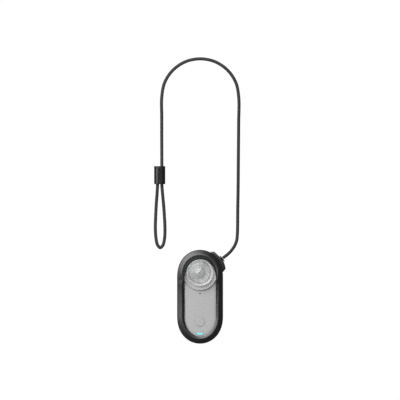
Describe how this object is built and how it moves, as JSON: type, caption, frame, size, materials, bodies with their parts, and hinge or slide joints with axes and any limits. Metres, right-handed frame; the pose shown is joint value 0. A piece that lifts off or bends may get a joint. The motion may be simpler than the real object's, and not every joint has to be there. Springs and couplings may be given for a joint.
{
  "type": "tethered action camera",
  "caption": "Thumb-size action camera with a twist-off round lens guard, in a hooded silicone sleeve with a round tether cord and crimped end loop.",
  "frame": {"origin": "middle of the camera's flat magnetic back face", "axes": "+Z out of the face with the lens, +Y along the length to the lens end, +X to the side that carries the tether lug"},
  "size_m": [0.0527, 0.1743, 0.0231],
  "materials": {
    "sleeve_silicone": "matte moulded silicone",
    "cord_braid": "round braided cord",
    "crimp_polymer": "semi-gloss moulded polymer",
    "shell_grey": "fine satin, pale grey",
    "guard_glass": "clear, coated",
    "optic_glass": "coated",
    "status_cyan": "lit light pipe",
    "black_polymer": "matte black",
    "soft_black": "soft black rubber",
    "circuit_board": "solder mask",
    "plain_steel": "stamped steel",
    "copper_plate": "bare copper",
    "gold_contact": "gold plated",
    "chip_black": "moulded package",
    "flex_film": "amber film",
    "bright_foil": "plain foil and stamped cans"
  },
  "bodies": {
    "camera": {"protective_sleeve": "sleeve_silicone", "cord_anchor": "crimp_polymer", "tether_cord": "cord_braid", "crimp_ferrule": "crimp_polymer", "front_cover": "shell_grey", "rear_cover": "shell_grey", "housing_seal": "soft_black", "bayonet_seat": "black_polymer", "guard_seal": "soft_black", "lens_barrel": "black_polymer", "rear_lens": "optic_glass", "rear_spacer": "black_polymer", "middle_lens": "optic_glass", "front_spacer": "black_polymer", "front_lens": "optic_glass", "lens_retainer": "black_polymer", "lens_holder": "black_polymer", "ir_filter": "optic_glass", "image_sensor": "chip_black", "sensor_board": "circuit_board", "heat_spreader": "copper_plate", "sensor_flex": "flex_film", "inner_frame": "plain_steel", "main_board": "circuit_board", "processor_shield": "bright_foil", "memory_chip": "chip_black", "microphone": "bright_foil", "mic_boot": "soft_black", "mic_mesh": "plain_steel", "status_led": "status_cyan", "status_window": "status_cyan", "shutter_switch": "bright_foil", "wifi_antenna": "gold_contact", "battery_cell": "bright_foil", "battery_pad": "soft_black", "battery_lead": "flex_film", "vibration_motor": "plain_steel", "magnet_upper": "plain_steel", "magnet_lower": "plain_steel", "contact_block": "black_polymer", "housing_screw_1": "plain_steel", "housing_screw_2": "plain_steel", "housing_screw_3": "plain_steel", "housing_screw_4": "plain_steel", "charge_contact_1": "gold_contact", "charge_contact_2": "gold_contact", "charge_contact_3": "gold_contact", "charge_contact_4": "gold_contact", "charge_contact_5": "gold_contact"},
    "shutter_button": {"shutter_button": "shell_grey"},
    "switch_plunger": {"switch_plunger": "black_polymer"},
    "lens_guard": {"lens_guard_ring": "shell_grey", "lens_guard_glass": "guard_glass"}
  },
  "joints": [
    {"name": "button_press", "type": "slide", "parent": "camera", "child": "shutter_button", "axis": [0, 0, -1], "range_m": [0, 0.0003], "stiffness_N_per_m": 400},
    {"name": "plunger_press", "type": "slide", "parent": "camera", "child": "switch_plunger", "axis": [0, 0, -1], "range_m": [0, 0.0003]},
    {"name": "guard_twist", "type": "hinge", "parent": "camera", "child": "lens_guard", "pos_m": [0, 0.01453, 0.0165], "axis": [0, 0, 1], "range_deg": [0, 30]}
  ],
  "couplings": [
    {"joint": "plunger_press", "follows": "button_press", "ratio": 1}
  ]
}
